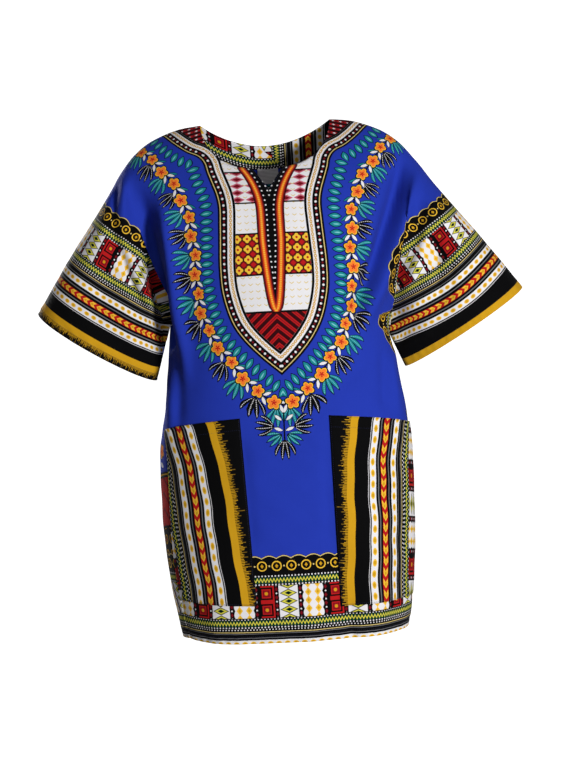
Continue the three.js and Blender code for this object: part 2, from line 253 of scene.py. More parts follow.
# The dress's two faces: which way along Y each one lies, the depth of its neckline, how flat its foot and
# how steep its sides are, and how soon down the yoke the chest is full.
FRONT, BACK = rows(
    "name way drop flat steep fullness creases outline garland",
    ("front", -1, 84, 3, 0.6, 3, FRONT_CREASES, FRONT_OUTLINE, FRONT_GARLAND),
    ("back", 1, 33, 2, 1, 4.5, BACK_CREASES, BACK_OUTLINE, BACK_GARLAND),
)

# Heights of the figures on the flat front and back.
PLACKET_HALF = 14.5  # from the centre line to the placket's piping
PLACKET_FOOT = -306
DIAMONDS = (-131, -73)
LATTICE = (-249, -183)
TIP_TOP = -308
SIDE_SPRAY = -500  # the foot of the spray over the left pocket
HIP_TOP = -566  # of the red panels at the back's sides
STRIP_FOOT = -430  # below it the body's border is the hem's

# The border print, measured from the inner edge of its gold band.
BORDER_DEPTH = 223
HEM_START = 83
SLEEVE_PRINT = 1.1  # its scale on the sleeves, as the cuffs flare
SLEEVE_SHIFT = 58  # where the overarm line lies along it

# The studio, in metres, watts and degrees.
FLOOR_Z = -4.4
BOWL_RADIUS = 6.0
BOWL_BEND = 1.5
BOWL_TOP = 4.8
BOWL_SIDES = 48
BOWL_BEND_STEPS = 12
LIGHTS = rows(
    "name place size power",
    ("key", (1.84, -3.32, -0.5), 0.6, 154),
    ("fill", (0.2, -3.6, 0.1), 1.2, 14),
    ("back", (-1.9, 2.4, 0.9), 1.2, 110),
)
LIGHTS_AIM = (0, 0, -0.4)
WORLD_LIGHT = 0.1
CAMERA_PLACE = (0.016, -2.6, -0.422)
CAMERA_ROLL = 2.975
CAMERA_LENS = 74.3
CAMERA_SENSOR = 36

# Colours of the cloth and the print, as sRGB from 0 to 255.
BLUE = (33, 54, 164)
BLACK = (5, 5, 6)
WHITE = (224, 222, 224)
GOLD = (200, 150, 26)
DARK_GOLD = (132, 100, 26)
GRASS = (212, 204, 72)
GREEN = (10, 54, 40)
RED = (176, 24, 26)
WINE = (110, 15, 25)
DEEP_WINE = (48, 6, 12)
TEAL = (26, 128, 136)
PALE_TEAL = (120, 195, 198)
ORANGE = (236, 122, 44)
ORANGE_RED = (205, 70, 20)
PALE_GOLD = (214, 190, 120)
ROSE = (190, 90, 110)
YELLOW = (232, 184, 56)
GREY = (104, 104, 108)
TAPE = (232, 228, 230)
TAPE_LINE = (132, 130, 133)
THREAD = (24, 30, 70)

# The border's plain bands: how deep in the middle of each lies, and its half width.
BORDER_BANDS = [
    (6, 6, GOLD), (35.5, 0.4, WHITE), (53.5, 0.9, GREY), (63, 5, RED), (73, 0.8, GREY), (92.6, 0.5, GREY),
    (99.4, 0.5, GREY), (102, 0.6, PALE_GOLD),
]

# The weave: its pitch, how thick and long its uneven threads are, and how wide its patches of wear.
COTTON = {"Sheen Weight": 0.02, "Sheen Roughness": 0.5, "Specular IOR Level": 0.05}
WEAVE = 0.8
SLUB_WIDTH = 1.1
SLUB_LENGTH = 22
WORN_PATCH = 45
WORN_TINT = (0.72, 0.72, 0.74, 1.0)
WEAVE_BUMP = 0.0003  # in metres


# ---- Small helpers ----
def mix(a, b, share):
    return a + (b - a) * share


def smooth(start, end, x):
    share = np.clip((x - start) / (end - start), 0, 1)
    return share * share * (3 - 2 * share)


def bump(x, middle, width):
    return np.exp(-(((x - middle) / width) ** 2))


def rounded(x):
    return np.abs(x) ** (2 / SQUARENESS)


def read(table, key, column, at):
    """A table's column at places along its key column, on a smooth curve through its rows."""
    keys = np.array([row[key] for row in table], float)
    values = np.array([row[column] for row in table], float)
    rising = np.sign(keys[-1] - keys[0])
    before = np.arange(len(keys)) - 1
    after = before + 2
    before[0], after[-1] = 0, len(keys) - 1
    slopes = (values[after] - values[before]) / (keys[after] - keys[before])
    i = np.clip(np.searchsorted(rising * keys, rising * np.asarray(at, float)) - 1, 0, len(keys) - 2)
    span = keys[i + 1] - keys[i]
    t = np.clip((at - keys[i]) / span, 0, 1)
    start = values[i] * (1 + 2 * t) + slopes[i] * span * t
    end = values[i + 1] * (3 - 2 * t) - slopes[i + 1] * span * (1 - t)
    return start * (1 - t) ** 2 + end * t**2


def stack(*values):
    return np.stack(np.broadcast_arrays(*values), -1)


def steps(*legs):
    """Evenly spaced values through legs, each (start, end, count), with every start once."""
    parts = [np.linspace(start, end, count, endpoint=False) for start, end, count in legs]
    return np.concatenate(parts + [[legs[-1][1]]])


def running(points, axis, origin=0):
    """Distance along an axis of a grid of points, from its start or from the index origin."""
    legs = np.linalg.norm(np.diff(points, axis=axis), axis=-1)
    pad = [(0, 0), (0, 0)]
    pad[axis] = (1, 0)
    total = np.cumsum(np.pad(legs, pad), axis=axis)
    return total - np.take(total, [origin], axis=axis)


# ---- The garment's surface ----
def ring_drop(t):
    return (1 - np.cos(np.pi * t)) / 2


def ring_depth(t):
    return np.sin(np.pi * t) * (1 + 0.35 * np.cos(np.pi * t))


def armpit_level(s):
    return mix(RIGHT["armpit"], LEFT["armpit"], (s + 1) / 2)


def yoke(face, s, t):
    """The body from the shoulders, t = 0, to the armpits, t = 1; s runs across it between the armholes."""
    k = np.abs(s)
    drop = ring_drop(t)
    foot = armpit_level(s)
    turn = np.pi / 2 * np.minimum(1, k)
    round_share = 1 - (1 - t**2.8) ** 2
    across = mix(k, rounded(np.sin(turn)), round_share)
    out = mix(1 - k * k, rounded(np.cos(turn)), round_share)
    armhole_x = mix(SHOULDER_X, read(GIRTHS, "z", "half", foot), drop)
    armhole_y = SLEEVE_DEPTHS[0]["half"] * ring_depth(t) * mix(smooth(1, 0.8, t), 1, k**8)
    chest_y = read(GIRTHS, "z", face["name"], foot) * (1 - (1 - drop) ** face["fullness"])
    x = read(GIRTHS, "z", "middle", foot) * drop + np.sign(s) * armhole_x * across
    z = mix(read(OVERARM, "x", "z", SHOULDER_X * k), foot, drop)
    return stack(x - SWAY * z, face["way"] * mix(armhole_y, chest_y, out), z)


def body(angle, z):
    """The body below the armpits, by its angle round from the centre front and its height."""
    a = np.radians(angle)
    half = read(GIRTHS, "z", "half", z)
    depth = np.where(np.cos(a) > 0, read(GIRTHS, "z", "front", z), read(GIRTHS, "z", "back", z))
    x = half * np.sign(np.sin(a)) * rounded(np.sin(a))
    y = -depth * np.sign(np.cos(a)) * rounded(np.cos(a))
    out_x, out_y = x / half**2, y / depth**2
    length = np.hypot(out_x, out_y)
    height = 0
    for fold in BODY_FOLDS:
        apart = (angle - fold["angle"] + 540) % 360 - 180
        fade_in = smooth(fold["start"], fold["start"] - FOLD_FADE, z)
        fade_out = smooth(fold["end"], fold["end"] + FOLD_FADE, z)
        height = height + fold["height"] * bump(apart, 0, fold["width"]) * fade_in * fade_out
    x = x + read(GIRTHS, "z", "middle", z) + out_x / length * height
    return stack(x - SWAY * z, y + out_y / length * height, z)


def seam_swing(s, z):
    side = np.where(s < 0, RIGHT["swing"], LEFT["swing"])
    return side * smooth(-350, -520, z) * s * s


def skirt_at(face, s, z):
    quarter = 90 * s if face is FRONT else 180 - 90 * s
    return body(quarter + seam_swing(s, z), z)


def skirt(face, s, row):
    """The front or back below the armpits, with row from 0 there to 1 at the hem."""
    hem = HEM_Z + HEM_RISE * np.abs(s) ** 3
    return skirt_at(face, s, mix(armpit_level(s), hem, row))


def sleeve(face, side, q, t):
    """One face of a sleeve: q runs from armhole to cuff, t from the overarm line to the underarm seam."""
    cuff = OVERARM[-1]
    overarm = read(OVERARM, "x", "z", mix(SHOULDER_X, cuff["x"], q))
    top_x = mix(SHOULDER_X, side["top"][0], q)
    top_z = overarm + (side["top"][1] - cuff["z"]) * q
    middle = side["way"] * read(GIRTHS, "z", "middle", side["armpit"])
    under_x = mix(read(GIRTHS, "z", "half", side["armpit"]) + middle, side["under"][0], q)
    under_z = mix(side["armpit"], side["under"][1], q)
    width_x, width_z = top_x - under_x, top_z - under_z
    width = np.hypot(width_x, width_z)
    depth = read(SLEEVE_DEPTHS, "share", "half", q) * ring_depth(t)
    for fold in SLEEVE_FOLDS:
        reach = smooth(fold["start"], fold["start"] + 0.3, q) * smooth(fold["end"], fold["end"] - 0.3, q)
        depth = depth + fold["height"] * bump(t, fold["around"], fold["width"]) * reach * smooth(0, 0.15, q)
    bow = side["bow"] * np.sin(np.pi * t) * q * q
    x = top_x - ring_drop(t) * width_x + bow * width_z / width
    z = top_z - ring_drop(t) * width_z - bow * width_x / width
    return stack(side["way"] * x - SWAY * z, face["way"] * depth, z)


def neckline(face, x):
    share = np.minimum(1, np.abs(x) / NECK_HALF)
    scoop = face["drop"] * (1 - share ** face["flat"]) ** face["steep"]
    notch = NOTCH_DROP * np.maximum(0, 1 - np.abs(x) / NOTCH_HALF) if face is FRONT else 0
    return read(OVERARM, "x", "z", NECK_HALF) - scoop - notch


def first_place(start, end, test):
    """The places between start and end where a test first holds, by halving."""
    for _ in range(HALVINGS):
        middle = (start + end) / 2
        passed = test(middle)
        end = np.where(passed, middle, end)
        start = np.where(passed, start, middle)
    return end


def place_down(face, s, test):
    """The place t down each column s of the yoke where a test of the point first holds."""
    return first_place(np.zeros_like(s), np.ones_like(s), lambda t: test(yoke(face, s, t)))


def neck_row(face, s):
    """Where each column of the yoke starts: on the neckline, or on the shoulder seam past it."""
    start = place_down(face, s, lambda p: p[..., 2] <= neckline(face, p[..., 0] + SWAY * p[..., 2]))
    return np.where(np.abs(s) > NECK_SHARE - TINY, 0, start)


def below_neck(face, s, depth):
    """The place a distance down each column from the neckline or the shoulder."""
    edge = yoke(face, s, neck_row(face, s))
    return place_down(
        face, s, lambda p: (p[..., 2] < edge[..., 2]) & (np.linalg.norm(p - edge, axis=-1) > depth)
    )


# ---- Creases ----
def crease_height(face, points):
    """How far the creases of a face lift or sink each point, seen from the front."""
    x, z = points[..., 0], points[..., 2]
    total = np.zeros(x.shape)
    for crease in face["creases"]:
        start, middle, end = (np.array(crease[key]) for key in ("start", "middle", "end"))
        share = np.linspace(0, 1, CREASE_LEGS + 1)[:, None]
        curve = (1 - share) ** 2 * start + 2 * share * (1 - share) * middle + share**2 * end
        nearest = np.full(x.shape, np.inf)
        along = np.zeros(x.shape)
        for k in range(CREASE_LEGS):
            leg = curve[k + 1] - curve[k]
            to_x, to_z = x - curve[k][0], z - curve[k][1]
            t = np.clip((to_x * leg[0] + to_z * leg[1]) / (leg @ leg), 0, 1)
            apart = np.hypot(to_x - t * leg[0], to_z - t * leg[1])
            closer = apart < nearest
            nearest = np.where(closer, apart, nearest)
            along = np.where(closer, (k + t) / CREASE_LEGS, along)
        taper = smooth(-0.02, 0.3, along) * smooth(1.02, 0.7, along)
        total += crease["height"] * bump(nearest, 0, crease["width"]) * taper
    return total


def ripple(points):
    """The slight unevenness of cloth that hangs: a few crossed long waves."""
    x, y, z = points[..., 0], points[..., 1], points[..., 2]
    return (
        0.5 * np.sin(x / 23 + z / 61 + 0.6)
        + 0.4 * np.sin(z / 37 - x / 53 + y / 29 + 2.1)
        + 0.3 * np.sin(x / 13.7 - z / 17.3 + 4.0)
        + 0.25 * np.sin((x + z) / 9.1 + y / 11)
    )


# ---- Flat cloth: where each point lies on the cut pieces ----
TABLE_SIZE = 241  # places each way


def flat_table(face):
    """The flat place of the yoke on an even grid of s and t: across from the centre, up from the armpits."""
    s = np.linspace(-1, 1, TABLE_SIZE)[:, None]
    t = np.linspace(0, 1, TABLE_SIZE)[None, :]
    points = yoke(face, s, t)
    across = running(points, 0, TABLE_SIZE // 2)
    down = running(points, 1, TABLE_SIZE - 1)
    return stack(across, armpit_level(s) - down)


def look_up(table, s, t):
    """A table's values between its even grid's places."""
    last = TABLE_SIZE - 1
    i = np.clip((s + 1) / 2 * last, 0, last - TINY)
    j = np.clip(t * last, 0, last - TINY)
    i0, j0 = i.astype(int), j.astype(int)
    fi, fj = (i - i0)[..., None], (j - j0)[..., None]
    near = mix(table[i0, j0], table[i0 + 1, j0], fi)
    far = mix(table[i0, j0 + 1], table[i0 + 1, j0 + 1], fi)
    return mix(near, far, fj)


def curve_through(points, count=120):
    """A smooth curve through a few points, evenly divided."""
    table = rows("n x y", *((n, *point) for n, point in enumerate(points)))
    n = np.linspace(0, len(points) - 1, count)
    return stack(read(table, "n", "x", n), read(table, "n", "y", n))


def offset_curve(curve, aside):
    tangent = np.gradient(curve, axis=0)
    tangent /= np.linalg.norm(tangent, axis=-1, keepdims=True)
    return curve + aside * stack(tangent[:, 1], -tangent[:, 0])


def follow(flat, curve):
    """Along and aside of a half curve for flat points, mirrored about the centre. Both ends run on straight,
    and along is 0 where the curve's own start would meet the centre line."""
    point = stack(np.abs(flat[..., 0]), flat[..., 1])
    legs = np.diff(curve, axis=0)
    lengths = np.linalg.norm(legs, axis=-1)
    before = np.concatenate([[0], np.cumsum(lengths)])
    last = len(legs) - 1
    nearest = np.full(point.shape[:-1], np.inf)
    along = np.zeros_like(nearest)
    aside = np.zeros_like(nearest)
    for k, leg in enumerate(legs):
        to = point - curve[k]
        t = (to @ leg) / lengths[k] ** 2
        t = np.clip(t, -np.inf if k == 0 else 0, np.inf if k == last else 1)
        gap = to - t[..., None] * leg
        distance = np.linalg.norm(gap, axis=-1)
        closer = distance < nearest
        sideways = leg[1] * to[..., 0] - leg[0] * to[..., 1]
        nearest = np.where(closer, distance, nearest)
        along = np.where(closer, before[k] + t * lengths[k], along)
        aside = np.where(closer, np.sign(sideways) * distance, aside)
    start_gap = curve[0][0] / (legs[0][0] / lengths[0])
    return along + start_gap, aside


# ---- Cloth as meshes ----
def new_object(name, data):
    obj = bpy.data.objects.new(name, data)
    bpy.context.scene.collection.objects.link(obj)
    return obj


def new_mesh(name, points, faces, material):
    """A mesh object, from points in metres."""
    mesh = bpy.data.meshes.new(name)
    mesh.from_pydata(np.asarray(points).tolist(), [], faces)
    mesh.materials.append(material)
    return new_object(name, mesh)


class Cloth:
    """A sheet made of patches. A patch is a grid of vertex numbers, and every corner of its faces carries
    the patch's own print coordinates, because a print may jump where one patch meets the next."""

    def __init__(self, name):
        self.name = name
        self.points = np.zeros((0, 3))
        self.on_seam = np.zeros(0, bool)
        self.to_hem = np.zeros(0)  # distance of each point from a turned hem
        self.fade = np.zeros(0)  # how much each point takes of the creases
        self.faces = []
        self.charts = {}
        self.stitched = []
        self.lift = 0.0  # from the surface out to the cloth's outer side
        self.outer = self.out = None  # the outer side's points and normals, once the shell is made

    def add(self, points, on_seam=False, to_hem=FAR, fade=1.0):
        """Adds a grid of points and gives their numbers."""
        start = len(self.points)
        shape = points.shape[:-1]
        self.points = np.concatenate([self.points, points.reshape(-1, 3)])
        self.on_seam = np.append(self.on_seam, np.broadcast_to(on_seam, shape))
        self.to_hem = np.append(self.to_hem, np.broadcast_to(to_hem, shape))
        self.fade = np.append(self.fade, np.broadcast_to(fade, shape))
        return np.arange(start, len(self.points)).reshape(shape)

    def stitch(self, numbers, distances, at):
        """Notes a line of stitches where distances that rise along each row of a grid reach a value."""
        row = np.arange(len(numbers))
        after = np.clip((distances < at).sum(1), 1, distances.shape[1] - 1)
        before = after - 1
        share = (at - distances[row, before]) / (distances[row, after] - distances[row, before])
        self.stitched.append((numbers[row, before], numbers[row, after], share[:, None]))

    def patch(self, numbers, charts, flipped):
        """Fills a grid with faces. charts gives each chart's grid of three numbers by name."""
        here, ahead = slice(None, -1), slice(1, None)
        corners = [(here, here), (here, ahead), (ahead, ahead), (ahead, here)]
        if flipped:
            corners.reverse()
        self.faces.append(np.stack([numbers[c] for c in corners], -1).reshape(-1, 4))
        for name, values in charts.items():
            values = np.stack([values[c] for c in corners], -2).reshape(-1, 4, 3)
            self.charts.setdefault(name, []).append(values)

    def normals(self, faces):
        a, b, c, d = (self.points[faces[:, k]] for k in range(4))
        face_normals = np.cross(c - a, d - b)
        total = np.zeros_like(self.points)
        for k in range(4):
            np.add.at(total, faces[:, k], face_normals)
        total[self.on_seam, 1] = 0
        return total / np.maximum(np.linalg.norm(total, axis=-1, keepdims=True), 1e-9)

    def rim(self, faces):
        """The faces that close the shell along its open edges, and the face and corner whose charts each of
        their corners takes."""
        count = len(self.points)
        edges = {}
        for number, face in enumerate(faces.tolist()):
            for k in range(4):
                a, b = face[k], face[(k + 1) % 4]
                if edges.pop((b, a), None) is None:
                    edges[(a, b)] = (number, k)
        closing, taken = [], []
        for (a, b), (number, k) in edges.items():
            start, end = (number, k), (number, (k + 1) % 4)
            closing.append((b, a, a + count, b + count))
            taken.append([end, start, start, end])
        return np.array(closing), np.array(taken)

    def shell(self, thickness, material):
        """The closed shell of the sheet."""
        faces = np.concatenate(self.faces)
        count = len(self.points)
        self.out = self.normals(faces)
        self.outer = self.points + self.out * np.broadcast_to(self.lift, count)[:, None]
        thicknesses = np.where(self.to_hem < HEM_DEPTH, HEM_CLOTH, thickness)[:, None]
        points = np.concatenate([self.outer, self.outer - self.out * thicknesses])
        closing, taken = self.rim(faces)
        everything = np.concatenate([faces, faces[:, ::-1] + count, closing])
        obj = new_mesh(self.name + "_cloth", points * MM, everything.tolist(), material)
        for name, parts in self.charts.items():
            values = np.concatenate(parts)
            closing_values = values[taken[..., 0], taken[..., 1]]
            corner_values = np.concatenate([values, values[:, ::-1], closing_values]).reshape(-1)
            attribute = obj.data.attributes.new(name, "FLOAT_VECTOR", "CORNER")
            attribute.data.foreach_set("vector", corner_values.astype(np.float32))
        smooth_faces = np.arange(len(everything)) < 2 * len(faces)
        obj.data.polygons.foreach_set("use_smooth", smooth_faces)
        return obj


# The faces of a stitch, a spindle with corners 0 and 1 at its ends and four more round its middle.
SPINDLE = [(0, 2, 4), (0, 4, 3), (0, 3, 5), (0, 5, 2), (1, 2, 5), (1, 5, 3), (1, 3, 4), (1, 4, 2)]


def between(at, along, values):
    return np.array([np.interp(at, along, values[:, k]) for k in range(3)])


def stitches(cloth, material):
    """The stitches of a shell's seams, as one mesh of small spindles along them."""
    points, faces = [], []
    for before, after, share in cloth.stitched:
        line = mix(cloth.outer[before], cloth.outer[after], share)
        out = mix(cloth.out[before], cloth.out[after], share)
        along = running(line[:, None], 0)[:, 0]
        for at in np.arange(STITCH["pitch"], along[-1] - STITCH["pitch"], STITCH["pitch"]):
            place = between(at, along, line)
            forward = between(at + 0.5, along, line) - place
            forward /= np.linalg.norm(forward)
            up = between(at, along, out)
            faces += [[len(points) + corner for corner in face] for face in SPINDLE]
            for direction, reach in ((forward, "half_length"), (np.cross(up, forward), "half_width"),
                                     (up, "half_width")):
                points += [place + direction * STITCH[reach], place - direction * STITCH[reach]]
    obj = new_mesh(cloth.name + "_stitches", np.array(points) * MM, faces, material)
    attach(obj, "root")
    return obj


# ---- The pieces of the dress ----
def print_charts(face, flat, edge):
    """The print coordinates of flat places, but for the border's; edge is the distance from the side
    seam."""
    outline, garland = curve_through(face["outline"]), curve_through(face["garland"])
    u, v = flat[..., 0], flat[..., 1]
    return {
        "flat": stack(u, v, edge),
        "panel": stack(*follow(flat, outline), np.abs(u) - placket(v)),
        "ring": stack(*follow(flat, offset_curve(outline, RING_ASIDE)), 0.0),
        "garland": stack(*follow(flat, garland), 0.0),
    }


def placket(v):
    """How far the piping of the placket lies from the centre line at flat heights."""
    top = 26 * np.clip((v + 150) / 84, 0, 1) ** 2
    foot = np.clip((v - PLACKET_FOOT) / 110, 0, 1) ** 0.47
    return PLACKET_HALF * foot + top


def wear(cloth, face):
    """Creases, ripples and the puckers of stitched hems."""
    height = (crease_height(face, cloth.points) + ripple(cloth.points)) * cloth.fade
    run = cloth.points[:, 0] + 0.6 * cloth.points[:, 2]
    pucker = 0.5 * np.sin(run / 2.3) + 0.4 * np.sin(run / 5.1 + 1)
    height += bump(cloth.to_hem, HEM_STITCH - 3, 8) * pucker - 0.4 * bump(cloth.to_hem, HEM_STITCH, 1.5)
    direction = cloth.normals(np.concatenate(cloth.faces)) * CREASE_PUSH
    direction /= np.linalg.norm(direction, axis=-1, keepdims=True)
    cloth.points = cloth.points + direction * height[:, None]


def columns():
    """The places of a panel's columns from the right armhole to the left, closer at the neck's corners."""
    notch = NOTCH_HALF / SHOULDER_X
    in_notch = np.linspace(0, notch, COLUMNS["notch"], endpoint=False)
    in_neck = mix(notch, NECK_SHARE, np.sin(np.linspace(0, np.pi / 2, COLUMNS["neck"], endpoint=False)))
    in_shoulder = np.linspace(NECK_SHARE, 1, COLUMNS["shoulder"] + 1)
    half = np.concatenate([in_notch, in_neck, in_shoulder])
    return np.concatenate([-half[:0:-1], half])[:, None]


def hemmed(counts):
    """The places of rows from 0 to a hem at 1, closer in the hem."""
    return steps((0, counts["hem_start"], counts["body"]), (counts["hem_start"], 1, counts["hem"]))


def panel(face):
    """The front or the back: the body and both half sleeves, cut in one."""
    cloth = Cloth(face["name"])
    s = columns()
    top, foot = neck_row(face, s), below_neck(face, s, FACING_DEPTH)
    legs = steps((0, 1, YOKE_ROWS["facing"]), (1, 2, YOKE_ROWS["chest"]))
    in_chest = 1 - np.clip(2 - legs, 0, 1) ** 0.65
    t = np.where(legs <= 1, mix(top, foot, legs), mix(foot, 1, in_chest))
    table = flat_table(face)
    numbers = add_yoke(cloth, face, s, t, table)
    add_skirt(cloth, face, s, numbers[:, -1])
    for side, column in ((RIGHT, 0), (LEFT, -1)):
        add_sleeve(cloth, face, side, t[column], numbers[column], table)
    wear(cloth, face)
    return cloth


def add_yoke(cloth, face, s, t, table):
    """The face's part above the armpits. Gives its points' numbers."""
    points = yoke(face, s, t)
    in_neck = np.abs(s[:, 0]) < NECK_SHARE - TINY
    on_seam = np.zeros(t.shape, bool)
    on_seam[~in_neck, 0] = True
    points[on_seam, 1] = 0
    past_neck = smooth(NECK_SHARE - 0.06, NECK_SHARE + 0.06, np.abs(s))
    numbers = cloth.add(points, on_seam, fade=mix(1, smooth(0, 0.12, t), past_neck))
    cloth.stitch(numbers[in_neck], running(points, 1)[in_neck], NECK_STITCH)
    flat = look_up(table, s, t)
    armhole = look_up(table, np.where(s < 0, -1.0, 1.0), t)
    edge = np.abs(armhole[..., 0]) - np.abs(flat[..., 0])
    charts = print_charts(face, flat, edge)
    z = points[..., 2]
    charts["border"] = stack(-z, BORDER_DEPTH + edge - strip_width(face, s, z), 0.0)
    cloth.patch(numbers, charts, face is BACK)
    return numbers


def add_skirt(cloth, face, s, top):
    """The face's part below the armpits, hung from the points numbered in top."""
    points = skirt(face, s, hemmed(SKIRT_ROWS))
    across = running(points, 0, len(s) // 2)
    down = running(points, 1)
    to_hem = down[:, -1:] - down
    below = cloth.add(points[:, 1:], to_hem=to_hem[:, 1:], fade=smooth(1, 0.9, np.abs(s)))
    numbers = np.column_stack([top, below])
    cloth.stitch(numbers[:, ::-1], to_hem[:, ::-1], HEM_STITCH)
    edge = np.where(s < 0, -across[0], across[-1]) - np.abs(across)
    charts = print_charts(face, stack(across, armpit_level(s) - down), edge)
    z = points[..., 2]
    in_strip = z > STRIP_FOOT
    strip_depth = BORDER_DEPTH + edge - strip_width(face, s, z)
    charts["border"] = stack(
        np.where(in_strip, -z, across), np.where(in_strip, strip_depth, HEM_START + to_hem), 0.0
    )
    cloth.patch(numbers, charts, face is BACK)


def add_sleeve(cloth, face, side, t, top, table):
    """The face's half sleeve on one side, from the armhole's points, numbered in top and lying at t."""
    points = sleeve(face, side, hemmed(SLEEVE_ROWS)[:, None], t)
    on_seam = np.zeros(points.shape[:-1], bool)
    on_seam[:, [0, -1]] = True
    points[on_seam, 1] = 0
    out = running(points, 0)
    to_cuff = out[-1:] - out
    fade = smooth(0, 0.07, t) * smooth(1, 0.93, t)
    numbers = np.vstack([top, cloth.add(points[1:], on_seam[1:], to_cuff[1:], fade)])
    cloth.stitch(numbers.T[:, ::-1], to_cuff.T[:, ::-1], HEM_STITCH)
    armhole = look_up(table, np.full(t.shape, float(side["way"])), t)
    charts = print_charts(face, stack(armhole[:, 0] + side["way"] * out, armhole[:, 1]), FAR)
    tucked = smooth(0, 45, to_cuff) * smooth(200, 110, to_cuff) * (1 - bump(t, 0.47, 0.22))
    depth = side["trim"] + SLEEVE_PRINT * to_cuff - side["tuck"] * tucked
    charts["border"] = stack(SLEEVE_SHIFT - running(points, 1), depth, 0.0)
    cloth.patch(numbers, charts, (face is BACK) == (side["way"] > 0))


def strip_width(face, s, z):
    """How much of the border shows on the front beside the armholes: a half width above the armpit's fold,
    and below it a strip that narrows to a point."""
    if face is BACK:
        return 0
    above = 0.52 * smooth(-160, -250, z) * smooth(-294, -276, z)
    below = 0.87 * np.clip((z + 395) / 60, 0, 1) ** 0.35 * smooth(-308, -320, z)
    return np.where(s < 0, RIGHT["strip"], LEFT["strip"]) * (above + below)


def pocket(row):
    """A patch pocket on the front, with its mouth a little open."""
    way = row["side"]["way"]
    cloth = Cloth(row["name"])
    u = np.linspace(0, 1, POCKET_GRID[0])[:, None]
    v = np.linspace(0, 1, POCKET_GRID[1])[None, :]
    z = mix(mix(*row["mouth"], u), mix(*row["foot"], u), v)
    inner_x = mix(row["mouth_x"], row["foot_x"], v)
    inner_s = first_place(
        np.zeros(z.shape), np.full(z.shape, float(way)),
        lambda s: way * skirt_at(FRONT, s, z)[..., 0] > way * inner_x
    )
    s = mix(inner_s, way, u)
    points = skirt_at(FRONT, s, z)
    numbers = cloth.add(points, fade=smooth(1, 0.9, np.abs(s)))
    across = running(points, 0)
    down = running(points, 1)
    lean = mix(*row["lean"], v**0.6)
    pull = 1.2 * np.sin(down / 27 + across / 60 + row["mouth_x"] / 20) + 0.6 * np.sin(down / 10 + 1.3)
    charts = {
        "flat": stack(across, down, FAR),
        "border": stack(POCKET_PRINT * down, across - lean + pull, FAR),
    }
    cloth.patch(numbers, charts, way < 0)
    cloth.stitch(numbers.T, across.T, POCKET_STITCH)
    cloth.stitch(numbers[:, ::-1], (down[:, -1:] - down)[:, ::-1], POCKET_STITCH)
    cloth.stitch(numbers, down, MOUTH_STITCH)
    wear(cloth, FRONT)
    cloth.lift = (POCKET_LIFT + POCKET_OPEN * np.sin(np.pi * u) * bump(v, 0, 0.16)).reshape(-1)
    return cloth


def inner_cloth(name, s, t, depth, border=None):
    """A sheet on the inner side of the back, at a depth below its outer side."""
    cloth = Cloth(name)
    points = yoke(BACK, s, t)
    u, v = np.moveaxis(look_up(flat_table(BACK), s, t), -1, 0)
    charts = {"flat": stack(u, v, FAR)}
    if border:
        charts["border"] = border(u, running(points, 1))
    cloth.patch(cloth.add(points), charts, True)
    wear(cloth, BACK)
    cloth.lift = -depth
    return cloth


def facing():
    """The strip of border print inside the back of the neck."""
    half = NECK_HALF + FACING_DEPTH
    s = np.linspace(-1, 1, FACING_GRID[0])[:, None] * half / SHOULDER_X
    reach = np.clip((half - np.abs(s) * SHOULDER_X) / FACING_DEPTH, 0.02, 1)
    rows_down = np.linspace(0, 1, FACING_GRID[1]) * reach
    t = mix(neck_row(BACK, s), below_neck(BACK, s, FACING_DEPTH), rows_down)
    return inner_cloth(
        "neck_facing", s, t, CLOTH + 0.3,
        lambda u, down: stack(u + FACING_SHIFT, FACING_START + FACING_DEPTH - down, FACING_CORNER - u)
    )


def label():
    """The blank label, folded over the facing's lower edge."""
    s = np.linspace(-1, 1, LABEL_GRID[0])[:, None] * LABEL_HALF / SHOULDER_X
    rows_down = np.linspace(0, 1, LABEL_GRID[1])
    t = mix(below_neck(BACK, s, LABEL_TOP), below_neck(BACK, s, LABEL_FOOT), rows_down)
    return inner_cloth("neck_label", s, t, 2 * CLOTH + 0.6)


# ---- Painting cloth with numbers ----
def operator(operation, swapped=False):
    """A method that calculates with a number and another one, swapped or not."""
    if swapped:
        return lambda one, other: calculate(operation, other, one)
    return lambda one, other: calculate(operation, one, other)


class Number:
    """A number that varies over the cloth, built from the shader's Math nodes by ordinary arithmetic."""

    tree = None
    __add__ = __radd__ = operator("ADD")
    __sub__ = operator("SUBTRACT")
    __rsub__ = operator("SUBTRACT", swapped=True)
    __mul__ = __rmul__ = operator("MULTIPLY")
    __truediv__ = operator("DIVIDE")

    def __init__(self, value):
        self.value = value

    def __abs__(self):
        return calculate("ABSOLUTE", self)


def plug(node, items):
    """Sets a node's inputs, by name or place, to plain values or to what other nodes give."""
    for key, item in items.items():
        item = getattr(item, "value", item)
        if isinstance(item, (int, float, tuple)):
            node.inputs[key].default_value = item
        else:
            Number.tree.links.new(item, node.inputs[key])


def new_node(kind, items, **settings):
    """A node with its own settings and its inputs."""
    node = Number.tree.nodes.new("ShaderNode" + kind)
    for name, value in settings.items():
        setattr(node, name, value)
    plug(node, items)
    return node


def calculate(operation, *inputs):
    return Number(new_node("Math", dict(enumerate(inputs)), operation=operation).outputs[0])


def low(*items):
    return reduce(lambda one, other: calculate("MINIMUM", one, other), items)


def high(*items):
    return reduce(lambda one, other: calculate("MAXIMUM", one, other), items)


def repeat(x, pitch, shift=0.0):
    """x within its repeat, from minus to plus half the pitch."""
    return calculate("WRAP", x - shift if shift else x, pitch / 2, -pitch / 2)


def zigzag(x, pitch):
    """Rises and falls evenly between -1 and 1."""
    return calculate("PINGPONG", x, pitch / 2) * (4 / pitch) - 1


def wave(x, pitch):
    return calculate("SINE", x * (2 * math.pi / pitch))


